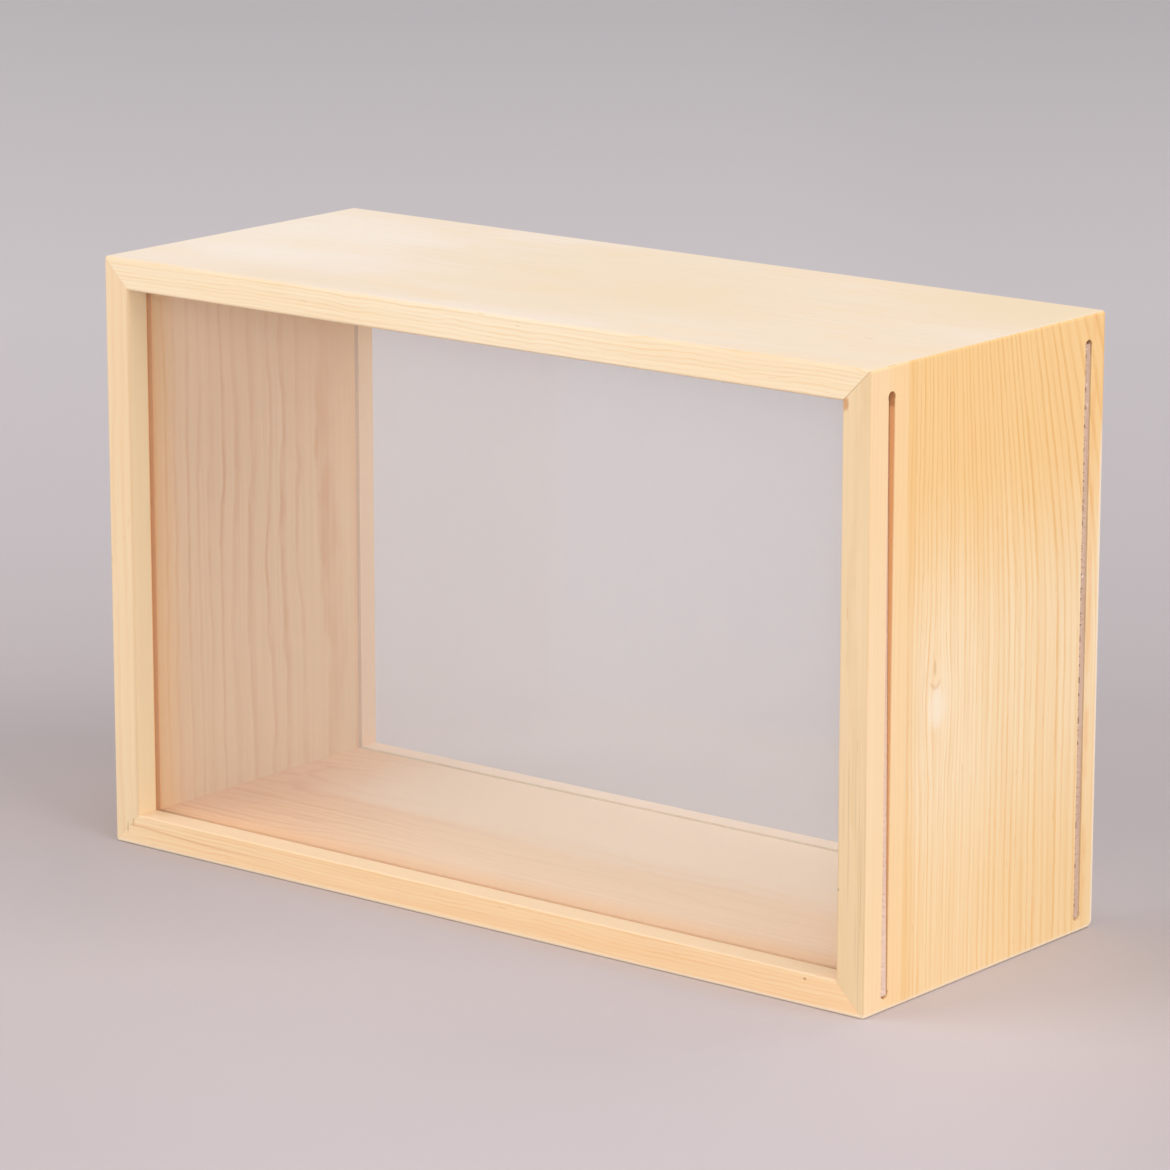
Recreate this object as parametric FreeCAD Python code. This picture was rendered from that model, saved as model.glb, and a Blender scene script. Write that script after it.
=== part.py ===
import FreeCAD, Part
import math
import os

from FreeCAD import Placement, Rotation, Vector

# A pine display box: four boards mitred into an open ring, with two clear panels that slide in from
# the right through two slots. Millimetres, X to the right, Y to the rear, Z up. The origin is at the
# middle of the base.

# Case
CASE_WIDTH = 280.0  # over the two side boards
CASE_DEPTH = 112.0  # from the front rim to the rear rim
CASE_HEIGHT = 180.0  # from the base to the top face
BOARD_THICKNESS = 9.5  # all four boards
OUTER_ROUND = 1.0  # sanded outer arrises of the glued-up case
REAR_FOOT_ROUND = 2.5  # the lower rear arris is sanded rounder than the others
RIM_ROUND = 0.7  # eased arrises round the front and rear openings

# Clear panels
PANEL_THICKNESS = 2.5
PANEL_TOP_HOLD = 1.0  # height of panel that stands inside the top groove
PANEL_RECESS = 0.3  # the lower corner of a panel's free edge lies this far inside the right face
FRONT_PANEL_LEAN = 1.7  # the front one's free edge is sawn out of square, further in at the top by this much

# Grooves that carry the panels
GROOVE_CLEARANCE = 0.25  # between a panel face and the groove wall beside it
FRONT_LIP = 8.0  # wood in front of the front groove
REAR_LIP = 7.0  # wood behind the rear groove
BOTTOM_GROOVE_DEPTH = 5.0
TOP_GROOVE_DEPTH = 3.0
LEFT_GROOVE_DEPTH = 5.0

# Through slots in the right board: a hole drilled at each end, and a saw cut between the holes
SLOT_DRILL_MARGIN = 0.2  # the holes are wider than the saw cut by this much on each side
LOWER_DRILL_INSET = 0.85  # the lower hole is centred this far above the panel's lower edge
UPPER_DRILL_INSET = 0.4  # the upper hole is centred this far below the panel's upper edge

# Loose splines glued into stopped mortises across the mitres
SPLINE_THICKNESS = 3.0
SPLINE_WIDTH = 8.0  # across the joint, half in each board
SPLINE_FROM_CORNER = 8.5  # along the mitre, from the outer corner to the middle of the spline
SPLINE_TO_GROOVE = 6.0  # wood left between a mortise and the panel groove beside it
SPLINE_GLUE_ROOM = 0.4  # free room at the ends and edges of each spline

# Cutters run past the faces that they open by this much
OVERRUN = 2.0

# Faces of two shapes that lie this close count as one face where the shapes are cut
SAME_FACE_WITHIN = 0.00001

# Angles, in degrees
QUARTER_TURN = 90.0
MITRE_ANGLE = QUARTER_TURN / 2

# Middle of a quarter arc, as a share of its radius, measured from the corner that it rounds
ARC_MIDDLE_SHARE = 1 - math.sqrt(1 / 2)

UP = Vector(0, 0, 1)
REARWARD = Vector(0, 1, 0)
RIGHTWARD = Vector(1, 0, 0)

# Faces of the case
front_face = -CASE_DEPTH / 2
rear_face = CASE_DEPTH / 2
left_face = -CASE_WIDTH / 2
right_face = CASE_WIDTH / 2

# Middle planes of the two grooves
groove_width = PANEL_THICKNESS + 2 * GROOVE_CLEARANCE
front_groove = front_face + FRONT_LIP + groove_width / 2
rear_groove = rear_face - REAR_LIP - groove_width / 2

# Panels stand on the floor of the bottom groove, pushed home to the floor of the left groove
panel_home = left_face + BOARD_THICKNESS - LEFT_GROOVE_DEPTH
panel_end = right_face - PANEL_RECESS
panel_foot = BOARD_THICKNESS - BOTTOM_GROOVE_DEPTH
panel_head = CASE_HEIGHT - BOARD_THICKNESS + PANEL_TOP_HOLD

# Mortises lie between the two grooves
mortise_front = front_groove + groove_width / 2 + SPLINE_TO_GROOVE
mortise_rear = rear_groove - groove_width / 2 - SPLINE_TO_GROOVE
mortise_length = mortise_rear - mortise_front
mortise_middle = (mortise_front + mortise_rear) / 2

# Each board lies flat on its outer face until it is turned about Y and moved to its place in the ring
BOARDS = {
    "bottom_board": (CASE_WIDTH, BOTTOM_GROOVE_DEPTH, 0, Vector(0, 0, 0)),
    "top_board": (CASE_WIDTH, TOP_GROOVE_DEPTH, 2 * QUARTER_TURN, Vector(0, 0, CASE_HEIGHT)),
    "left_board": (CASE_HEIGHT, LEFT_GROOVE_DEPTH, QUARTER_TURN, Vector(left_face, 0, CASE_HEIGHT / 2)),
    "right_board": (CASE_HEIGHT, 0, -QUARTER_TURN, Vector(right_face, 0, CASE_HEIGHT / 2)),
}

# Outer corner of each mitre, and the turn about Y that points up into the corner from there
CORNERS = {
    "bottom_left": (Vector(left_face, mortise_middle, 0), MITRE_ANGLE),
    "bottom_right": (Vector(right_face, mortise_middle, 0), -MITRE_ANGLE),
    "top_left": (Vector(left_face, mortise_middle, CASE_HEIGHT), QUARTER_TURN + MITRE_ANGLE),
    "top_right": (Vector(right_face, mortise_middle, CASE_HEIGHT), -QUARTER_TURN - MITRE_ANGLE),
}


def rounded_block():
    """The outside of the glued-up case, with every arris sanded round, the lower rear one first."""
    block = Part.makeBox(CASE_WIDTH, CASE_DEPTH, CASE_HEIGHT, Vector(left_face, front_face, 0))
    rear_foot = Vector(0, rear_face, 0)

    def off_rear_foot(edge):
        return edge.CenterOfMass.distanceToPoint(rear_foot)

    block = block.makeFillet(REAR_FOOT_ROUND, [min(block.Edges, key=off_rear_foot)])
    still_sharp = [edge for edge in block.Edges if off_rear_foot(edge) > REAR_FOOT_ROUND + OVERRUN]
    return block.makeFillet(OUTER_ROUND, still_sharp)


def board_section(groove_depth):
    """Cross-section of a board with its outer face down, grooved from above if it has grooves."""
    inner = BOARD_THICKNESS
    floor = inner - groove_depth
    arc_middle = RIM_ROUND * ARC_MIDDLE_SHARE

    def at(depth, height):
        return Vector(0, depth, height)

    inner_line = [at(rear_face - RIM_ROUND, inner)]
    for groove in (rear_groove, front_groove) if groove_depth > 0 else ():
        rear_wall = groove + groove_width / 2
        front_wall = groove - groove_width / 2
        inner_line += [at(rear_wall, inner), at(rear_wall, floor)]
        inner_line += [at(front_wall, floor), at(front_wall, inner)]
    inner_line.append(at(front_face + RIM_ROUND, inner))

    outer_line = [
        at(front_face, inner - RIM_ROUND),
        at(front_face, 0),
        at(rear_face, 0),
        at(rear_face, inner - RIM_ROUND),
    ]
    front_middle = at(front_face + arc_middle, inner - arc_middle)
    rear_middle = at(rear_face - arc_middle, inner - arc_middle)
    front_arris = Part.Arc(inner_line[-1], front_middle, outer_line[0]).toShape()
    rear_arris = Part.Arc(outer_line[-1], rear_middle, inner_line[0]).toShape()
    inner_edges = Part.makePolygon(inner_line).Edges
    outer_edges = Part.makePolygon(outer_line).Edges
    return Part.Face(Part.Wire([*inner_edges, front_arris, *outer_edges, rear_arris]))


def mitre_cutter(length):
    """What both mitre cuts leave of a board: a long prism that narrows from outer to inner face."""
    half = length / 2
    top = BOARD_THICKNESS + OVERRUN
    corners = [
        Vector(-half - OVERRUN, front_face - OVERRUN, -OVERRUN),
        Vector(half + OVERRUN, front_face - OVERRUN, -OVERRUN),
        Vector(half - top, front_face - OVERRUN, top),
        Vector(top - half, front_face - OVERRUN, top),
    ]
    outline = Part.makePolygon([*corners, corners[0]])
    return Part.Face(outline).extrude(REARWARD * (CASE_DEPTH + 2 * OVERRUN))


def mitred_board(length, groove_depth, turn, place):
    """A board in its place in the ring, with its ends mitred and its outer arrises rounded."""
    blank = board_section(groove_depth).extrude(RIGHTWARD * length)
    blank.translate(RIGHTWARD * -length / 2)
    board = blank.common(mitre_cutter(length))
    board.Placement = Placement(place, Rotation(REARWARD, turn))
    return board.common([rounded_block()], SAME_FACE_WITHIN)


def spline_block(corner, turn, length, width):
    """A strip with half-round ends, lying square across the mitre at a corner of the ring."""
    half = SPLINE_THICKNESS / 2
    straight = length / 2 - half
    side = -width / 2
    front_low, front_high = Vector(side, -straight, -half), Vector(side, -straight, half)
    rear_low, rear_high = Vector(side, straight, -half), Vector(side, straight, half)
    outline = [
        Part.makeLine(front_low, rear_low),
        Part.Arc(rear_low, Vector(side, straight + half, 0), rear_high).toShape(),
        Part.makeLine(rear_high, front_high),
        Part.Arc(front_high, Vector(side, -straight - half, 0), front_low).toShape(),
    ]
    strip = Part.Face(Part.Wire(outline)).extrude(RIGHTWARD * width)
    into_corner = Rotation(REARWARD, turn)
    middle = corner + into_corner.multVec(UP) * SPLINE_FROM_CORNER
    strip.Placement = Placement(middle, into_corner)
    return strip


def spline(corner, turn):
    """A loose spline, shorter and narrower than its mortises by the glue room."""
    length = mortise_length - 2 * SPLINE_GLUE_ROOM
    return spline_block(corner, turn, length, SPLINE_WIDTH)


def mortise_cutter(corner, turn):
    """The two mortises that face each other across a mitre."""
    width = SPLINE_WIDTH + 2 * SPLINE_GLUE_ROOM
    return spline_block(corner, turn, mortise_length, width)


def slot_cutter(groove):
    """A hole at each end and a saw cut between them, through the right board in line with a groove."""
    start = right_face - BOARD_THICKNESS - OVERRUN
    reach = BOARD_THICKNESS + 2 * OVERRUN
    low = panel_foot + LOWER_DRILL_INSET
    high = panel_head - UPPER_DRILL_INSET
    drill = groove_width / 2 + SLOT_DRILL_MARGIN
    saw_cut = Part.makeBox(reach, groove_width, high - low, Vector(start, groove - groove_width / 2, low))
    holes = [Part.makeCylinder(drill, reach, Vector(start, groove, end), RIGHTWARD) for end in (low, high)]
    return saw_cut.fuse(holes)


def panel(groove, lean):
    """A clear panel standing in a groove, the top of its free edge further in by the lean."""
    front = groove - PANEL_THICKNESS / 2
    corners = [
        Vector(panel_home, front, panel_foot),
        Vector(panel_end, front, panel_foot),
        Vector(panel_end - lean, front, panel_head),
        Vector(panel_home, front, panel_head),
    ]
    outline = Part.makePolygon([*corners, corners[0]])
    return Part.Face(outline).extrude(REARWARD * PANEL_THICKNESS)


def build():
    """Every piece of the box by name."""
    mortises = [mortise_cutter(*corner) for corner in CORNERS.values()]
    pieces = {name: mitred_board(*board).cut(mortises) for name, board in BOARDS.items()}
    slots = [slot_cutter(groove) for groove in (front_groove, rear_groove)]
    pieces["right_board"] = pieces["right_board"].cut(slots)
    pieces["front_panel"] = panel(front_groove, FRONT_PANEL_LEAN)
    pieces["rear_panel"] = panel(rear_groove, 0)
    for name, corner in CORNERS.items():
        pieces[name + "_spline"] = spline(*corner)
    return pieces


os.makedirs("parts", exist_ok=True)
for name, shape in build().items():
    solid = shape.Solids[0]
    solid.exportStep(f"parts/{name}.step")
    print(f"{name}: {len(shape.Solids)} solid, {len(solid.Faces)} faces, {solid.Volume:.0f} cubic mm")
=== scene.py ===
# %% [markdown]
# # A pine display box
# The real thing is four pine boards mitred into an open ring, with two clear acrylic panels that slide in
# from the right through two slots. The boards come from the construction model and keep their shape. This
# lesson gives every surface its finish, models the sawn panels in detail, and sets up a small photo studio.

# %% Load the construction model
import math
import random
from collections import namedtuple

import bmesh
import bpy
from mathutils import Matrix, Vector


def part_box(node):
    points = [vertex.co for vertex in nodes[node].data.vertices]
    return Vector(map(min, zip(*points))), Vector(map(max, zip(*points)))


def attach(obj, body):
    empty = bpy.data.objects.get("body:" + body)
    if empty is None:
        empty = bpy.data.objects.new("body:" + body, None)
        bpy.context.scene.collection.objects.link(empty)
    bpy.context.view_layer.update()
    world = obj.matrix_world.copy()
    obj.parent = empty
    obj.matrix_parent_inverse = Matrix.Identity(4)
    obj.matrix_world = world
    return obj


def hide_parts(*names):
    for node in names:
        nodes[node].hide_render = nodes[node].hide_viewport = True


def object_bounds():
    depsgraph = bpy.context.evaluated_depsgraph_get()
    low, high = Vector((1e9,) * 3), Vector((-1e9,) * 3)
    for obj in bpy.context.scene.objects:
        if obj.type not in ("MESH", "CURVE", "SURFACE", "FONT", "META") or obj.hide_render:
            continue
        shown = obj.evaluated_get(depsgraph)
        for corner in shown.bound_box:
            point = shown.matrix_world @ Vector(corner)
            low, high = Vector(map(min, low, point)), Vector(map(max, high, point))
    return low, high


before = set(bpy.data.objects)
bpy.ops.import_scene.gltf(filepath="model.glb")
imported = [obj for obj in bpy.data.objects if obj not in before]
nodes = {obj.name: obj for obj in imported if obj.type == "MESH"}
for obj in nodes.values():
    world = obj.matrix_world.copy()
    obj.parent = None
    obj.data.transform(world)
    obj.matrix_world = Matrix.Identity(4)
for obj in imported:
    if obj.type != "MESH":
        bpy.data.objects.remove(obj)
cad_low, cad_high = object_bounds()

MM = 0.001
scene = bpy.context.scene
scene.view_settings.view_transform = "Standard"
print("construction pieces:", ", ".join(sorted(nodes)))

# %% [markdown]
# ## Camera
# The photo was taken with a long lens from the right and a little above, so the edges hardly converge. We
# place the camera on a sphere around the middle of the box: an azimuth, an elevation and a distance. Two
# small shifts slide the camera sideways and up, so that the box sits in the picture as it does in the photo.

# %% Camera
CAMERA_AZIMUTH = math.radians(38.859)
CAMERA_ELEVATION = math.radians(13.417)
CAMERA_DISTANCE = 1560.7 * MM
CAMERA_LENS = 164.6  # for a sensor 36 mm wide
SLIDE_RIGHT = -1.761 * MM
SLIDE_UP = 0.296 * MM

level = math.cos(CAMERA_ELEVATION)
to_right = Vector((math.cos(CAMERA_AZIMUTH), math.sin(CAMERA_AZIMUTH), 0))
to_camera = Vector((
    math.sin(CAMERA_AZIMUTH) * level,
    -math.cos(CAMERA_AZIMUTH) * level,
    math.sin(CAMERA_ELEVATION),
))
to_top = to_camera.cross(to_right)
box_middle = (cad_low + cad_high) / 2

camera = bpy.data.objects.new("camera", bpy.data.cameras.new("camera"))
camera.data.sensor_width = 36
camera.data.lens = CAMERA_LENS
camera.data.clip_end = 20
eye = box_middle + to_camera * CAMERA_DISTANCE + to_right * SLIDE_RIGHT + to_top * SLIDE_UP
turn = Matrix((to_right, to_top, to_camera)).transposed().to_4x4()
camera.matrix_world = Matrix.Translation(eye) @ turn
scene.collection.objects.link(camera)
scene.camera = camera
print("camera at", [round(c, 3) for c in eye])

# %% [markdown]
# ## Building materials from nodes
# Every finish below is a small graph of shader nodes. Two helpers keep that readable: one adds a node and
# sets or links its inputs in a single call, the other adds a Math node and hands back its result, so that a
# formula reads from left to right.

# %% Node helpers


def srgb(red, green, blue):
    """A paint chip as it is read from a screen, 0 to 255, turned into the linear values of a shader."""
    def linear(value):
        share = value / 255
        return share / 12.92 if share <= 0.04045 else ((share + 0.055) / 1.055) ** 2.4
    return (linear(red), linear(green), linear(blue), 1)


def add_node(tree, kind, inputs=None, **settings):
    """Adds a shader node, then sets each named input to a value or links a socket to it."""
    made = tree.nodes.new("ShaderNode" + kind)
    for name, value in settings.items():
        setattr(made, name, value)
    for name, value in (inputs or {}).items():
        if isinstance(value, bpy.types.NodeSocket):
            tree.links.new(value, made.inputs[name])
        else:
            made.inputs[name].default_value = value
    return made


def maths(tree, operation, *values):
    """A Math node's result."""
    return add_node(tree, "Math", dict(enumerate(values)), operation=operation).outputs[0]


def smooth_step(tree, value, low, high):
    """0 below low, 1 above high, and a soft ramp between."""
    inputs = {"Value": value, "From Min": low, "From Max": high}
    return add_node(tree, "MapRange", inputs, interpolation_type="SMOOTHSTEP").outputs["Result"]


def spread(tree, value, low, high):
    """Stretches a 0 to 1 value to the range from low to high."""
    return add_node(tree, "MapRange", {"Value": value, "To Min": low, "To Max": high}).outputs["Result"]


def mix_colour(tree, share, first, second, blend="MIX"):
    """Mixes two colours by a share."""
    made = add_node(tree, "Mix", data_type="RGBA", blend_type=blend)
    for socket, value in zip((made.inputs[0], made.inputs[6], made.inputs[7]), (share, first, second)):
        if isinstance(value, bpy.types.NodeSocket):
            tree.links.new(value, socket)
        else:
            socket.default_value = value
    return made.outputs[2]


def stretched_noise(tree, point, stretch, detail=2.0, roughness=0.5):
    """Noise whose blobs are drawn out differently along each axis, as fibres are."""
    scaled = add_node(tree, "VectorMath", {0: point, 1: stretch}, operation="MULTIPLY").outputs[0]
    inputs = {"Vector": scaled, "Scale": 1.0, "Detail": detail, "Roughness": roughness}
    return add_node(tree, "TexNoise", inputs).outputs["Fac"]


def new_group(name, inputs, outputs):
    """An empty shader group with named sockets."""
    tree = bpy.data.node_groups.new(name, "ShaderNodeTree")
    for socket, kind in inputs.items():
        tree.interface.new_socket(socket, in_out="INPUT", socket_type="NodeSocket" + kind)
    for socket, kind in outputs.items():
        tree.interface.new_socket(socket, in_out="OUTPUT", socket_type="NodeSocket" + kind)
    return tree, tree.nodes.new("NodeGroupInput").outputs, tree.nodes.new("NodeGroupOutput").inputs


def new_material(name):
    """A material with an empty graph."""
    made = bpy.data.materials.new(name)
    made.use_nodes = True
    made.node_tree.nodes.clear()
    return made, made.node_tree


print("node helpers ready")

# %% [markdown]
# ## Pine, ring by ring
# A board is cut from a trunk, and the lines on its faces are where its growth rings come to the surface. So
# the figure is not painted on each face: it is a solid pattern. A point of the board gets its distance from
# the middle of the trunk, that distance is counted off in rings, and each ring goes slowly from pale early
# wood to darker late wood and then breaks off sharply. A flat face shows broad bands and a steep one fine
# lines, all by themselves, and the lines run on round every arris. Thin streaks fill the room between rings.

# %% Shader group: growth rings and fibres
figure_inputs = {
    "Point": "Vector",
    "Pith Across": "Float",
    "Pith Through": "Float",
    "Rings": "Float",
    "Crowding": "Float",
    "Wander": "Float",
    "Seed": "Float",
}
figure_outputs = dict.fromkeys(("Late Wood", "Streak", "Fibre", "Tone", "Resin"), "Float")
figure, given, result = new_group("pine figure", figure_inputs, figure_outputs)

BEND_STRETCH = (9, 26, 26)  # per metre: slow bends of the trunk
RIPPLE_STRETCH = (90, 170, 170)  # small waves in the rings
RIPPLE_DEPTH = 1.2 * MM
STREAK_STRETCH = (10, 640, 640)  # thin streaks between the rings
FIBRE_STRETCH = (22, 1700, 1700)  # long fine fibres
TONE_STRETCH = (6, 24, 24)  # broad changes of colour
RESIN_STRETCH = (120, 1100, 1100)  # short dark resin canals
FADE_STRETCH = (70, 260, 260)  # where a ring grows faint for a while
TRUNK_REACH = 100 * MM  # the rings are counted at this distance from the pith
SEASON_PACE = 0.41  # per ring: how quickly good and bad years take turns
SEASON_DEPTH = 0.8  # and they shift a ring by up to this share of its width
FAINTEST_YEAR = 0.55  # a weak year's late wood, where 1 is full strength
FAINTEST_STRETCH = 0.50  # and the same for a stretch where a ring grows faint

offset = add_node(figure, "CombineXYZ", {
    "X": given["Seed"],
    "Y": maths(figure, "MULTIPLY", given["Seed"], 0.37),
    "Z": maths(figure, "MULTIPLY", given["Seed"], 0.71),
}).outputs[0]
place = add_node(figure, "VectorMath", {0: given["Point"], 1: offset}, operation="ADD").outputs[0]
board = add_node(figure, "SeparateXYZ", {0: given["Point"]}).outputs

bend = maths(figure, "SUBTRACT", stretched_noise(figure, place, BEND_STRETCH), 0.5)
ripple = maths(figure, "SUBTRACT", stretched_noise(figure, place, RIPPLE_STRETCH), 0.5)
across = maths(figure, "SUBTRACT", board["Y"], given["Pith Across"])
through = maths(figure, "SUBTRACT", board["Z"], given["Pith Through"])
squares = maths(figure, "MULTIPLY_ADD", across, across, maths(figure, "MULTIPLY", through, through))
round_radius = maths(figure, "MULTIPLY_ADD", bend, given["Wander"], maths(figure, "SQRT", squares))
radius = maths(figure, "MULTIPLY_ADD", ripple, RIPPLE_DEPTH, round_radius)
share = maths(figure, "DIVIDE", maths(figure, "MAXIMUM", radius, 0.0), TRUNK_REACH)
steady_count = maths(figure, "MULTIPLY", maths(figure, "POWER", share, given["Crowding"]), given["Rings"])
season = add_node(figure, "TexNoise", {
    "W": maths(figure, "MULTIPLY_ADD", steady_count, SEASON_PACE, given["Seed"]),
    "Scale": 1.0,
    "Detail": 1.0,
}, noise_dimensions="1D").outputs["Fac"]
count = maths(figure, "MULTIPLY_ADD", season, SEASON_DEPTH, steady_count)
within = maths(figure, "FRACT", count)
rise = smooth_step(figure, within, 0.50, 0.88)
fall = smooth_step(figure, within, 1.0, 0.92)
year = add_node(figure, "TexWhiteNoise", {
    "W": maths(figure, "ADD", maths(figure, "FLOOR", count), given["Seed"]),
}, noise_dimensions="1D").outputs["Value"]
strength = spread(figure, year, FAINTEST_YEAR, 1.0)
faint = smooth_step(figure, stretched_noise(figure, place, FADE_STRETCH), 0.34, 0.60)
strength = maths(figure, "MULTIPLY", strength, spread(figure, faint, FAINTEST_STRETCH, 1.0))
late_wood = maths(figure, "MULTIPLY", maths(figure, "MULTIPLY", rise, fall), strength)
figure.links.new(late_wood, result["Late Wood"])

streak = smooth_step(figure, stretched_noise(figure, place, STREAK_STRETCH), 0.38, 0.66)
figure.links.new(streak, result["Streak"])
fibre = stretched_noise(figure, place, FIBRE_STRETCH, detail=3.0, roughness=0.6)
figure.links.new(fibre, result["Fibre"])
figure.links.new(stretched_noise(figure, place, TONE_STRETCH), result["Tone"])
resin = smooth_step(figure, stretched_noise(figure, place, RESIN_STRETCH, detail=1.0), 0.74, 0.80)
figure.links.new(resin, result["Resin"])
print("pine figure:", len(figure.nodes), "nodes")

# %% [markdown]
# ## Marks of the joiner, with painted shade and light
# Tools leave their own marks on a board, and all of them are places, not pictures. The rims were sanded after
# glue-up. Where two boards meet at 45 degrees, a hair of glue can show as a line: there the distances from
# the two outer faces are equal. An arris, close to two faces at once, gets painted shade that tones down its
# highlight. The walls of the grooves and slots were sawn: the front ones are painted browner, as painted
# shade of the deep cuts, and the rear ones paler, as painted light against the dark of their narrow gaps.
# One group works out all the masks for every board, from the size of the case and the place of the panels.

# %% Shader group: rims, mitres, arrises and saw cuts
case_size = cad_high - cad_low
half_width = case_size.x / 2
mark_outputs = dict.fromkeys(("Rim", "Mitre", "Arris", "Front Cut", "Rear Cut"), "Float")
marks, given, result = new_group("joiner's marks and painted shade", {"Point": "Vector"}, mark_outputs)

RIM_START = 0.7 * MM  # the sanding of a rim fades out on the rounded arris, between these distances from it
RIM_END = 0.05 * MM
MITRE_HALF_WIDTH = 0.16 * MM
MITRE_FADE = 0.30 * MM
ARRIS_WIDTH = 0.9 * MM  # an arris gets painted shade this far in, and full shade within the next value
ARRIS_CORE = 0.3 * MM
GLUE_PATCHES = (160, 160, 160)  # per metre: where the glue line swells and thins
BOARD_THICKNESS = 9.5 * MM
SAW_REACH = 0.45 * MM  # saw marks reach this far past the faces of a panel
SAW_FADE = 0.15 * MM
CUTS = {"front_panel": "Front Cut", "rear_panel": "Rear Cut"}

at = add_node(marks, "SeparateXYZ", {0: given["Point"]}).outputs
from_side = maths(marks, "SUBTRACT", half_width, maths(marks, "ABSOLUTE", at["X"]))
from_rim = maths(marks, "SUBTRACT", case_size.y / 2, maths(marks, "ABSOLUTE", at["Y"]))
height_off = maths(marks, "ABSOLUTE", maths(marks, "SUBTRACT", at["Z"], case_size.z / 2))
from_end = maths(marks, "SUBTRACT", case_size.z / 2, height_off)
depth = maths(marks, "MINIMUM", from_side, from_end)
on_rim = smooth_step(marks, from_rim, RIM_START, RIM_END)
marks.links.new(on_rim, result["Rim"])

off_mitre = maths(marks, "ABSOLUTE", maths(marks, "SUBTRACT", from_side, from_end))
glue_width = spread(marks, stretched_noise(marks, given["Point"], GLUE_PATCHES), 0.3, 1.5)
off_glue = maths(marks, "DIVIDE", off_mitre, glue_width)
mitre = maths(marks, "MULTIPLY", smooth_step(marks, off_glue, MITRE_FADE, MITRE_HALF_WIDTH), on_rim)
marks.links.new(mitre, result["Mitre"])

to_corner = maths(marks, "MAXIMUM", from_side, from_end)
to_rim_edge = maths(marks, "MAXIMUM", depth, from_rim)
from_inside = maths(marks, "SUBTRACT", BOARD_THICKNESS, depth)
to_inner_edge = maths(marks, "MAXIMUM", from_inside, from_rim)
nearest = maths(marks, "MINIMUM", to_corner, maths(marks, "MINIMUM", to_rim_edge, to_inner_edge))
marks.links.new(smooth_step(marks, nearest, ARRIS_WIDTH, ARRIS_CORE), result["Arris"])

inside = smooth_step(marks, depth, 0.1 * MM, 0.4 * MM)
for node, cut in CUTS.items():
    panel_low, panel_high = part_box(node)
    off_panel = maths(marks, "SUBTRACT", at["Y"], (panel_low.y + panel_high.y) / 2)
    reach = (panel_high.y - panel_low.y) / 2 + SAW_REACH
    beside = smooth_step(marks, maths(marks, "ABSOLUTE", off_panel), reach + SAW_FADE, reach)
    marks.links.new(maths(marks, "MULTIPLY", beside, inside), result[cut])
print("joiner's marks and painted shade:", len(marks.nodes), "nodes")

# %% [markdown]
# ## One finish for each board
# The four boards are cut from different planks, so each has its own trunk, its own ring count and its own
# colours. The wide faces were planed and the rims were sanded after glue-up, so a board has two sets of
# colours: one for its faces, one for its front and rear rims. The direction that a board runs in decides
# which coordinate counts as its length. Late wood stands a touch proud after sanding, which the bump follows.

# %% Pine finish
Finish = namedtuple("Finish", "early late warm ring_share streak_share")
Spot = namedtuple("Spot", "tree place at grain masks")
GLUE = (150, 96, 48)
RESIN = (196, 132, 76)
# painted shade for the arrises and the front saw cuts, painted light for the rear saw cuts
ARRIS_SHADE = (190, 146, 100)
SHADED_FRONT_CUT = (238, 178, 118)
LIT_REAR_CUT = (255, 218, 172)
GRAIN_HEIGHT = 0.12 * MM


def growth(tree, point, trunk):
    """Places the growth rings in a material, with the values of one trunk."""
    return add_node(tree, "Group", {"Point": point, **trunk}, node_tree=figure).outputs


def tinted(tree, grain, finish):
    """Early wood that drifts towards its warm tone, darkened by the late wood of each ring and by streaks."""
    drift = smooth_step(tree, grain["Tone"], 0.36, 0.64)
    ground = mix_colour(tree, drift, srgb(*finish.early), srgb(*finish.warm))
    rings = maths(tree, "MULTIPLY", grain["Late Wood"], finish.ring_share)
    lines = maths(tree, "MULTIPLY_ADD", grain["Streak"], finish.streak_share, rings)
    return mix_colour(tree, lines, ground, srgb(*finish.late))


def touched(spot, base, share, mask, chip):
    """Lays a colour over part of a board: a share of it where the mask is 1."""
    return mix_colour(spot.tree, maths(spot.tree, "MULTIPLY", mask, share), base, srgb(*chip))


def both(spot, *masks):
    """The place where every one of several masks holds."""
    result = masks[0]
    for mask in masks[1:]:
        result = maths(spot.tree, "MULTIPLY", result, mask)
    return result


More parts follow.
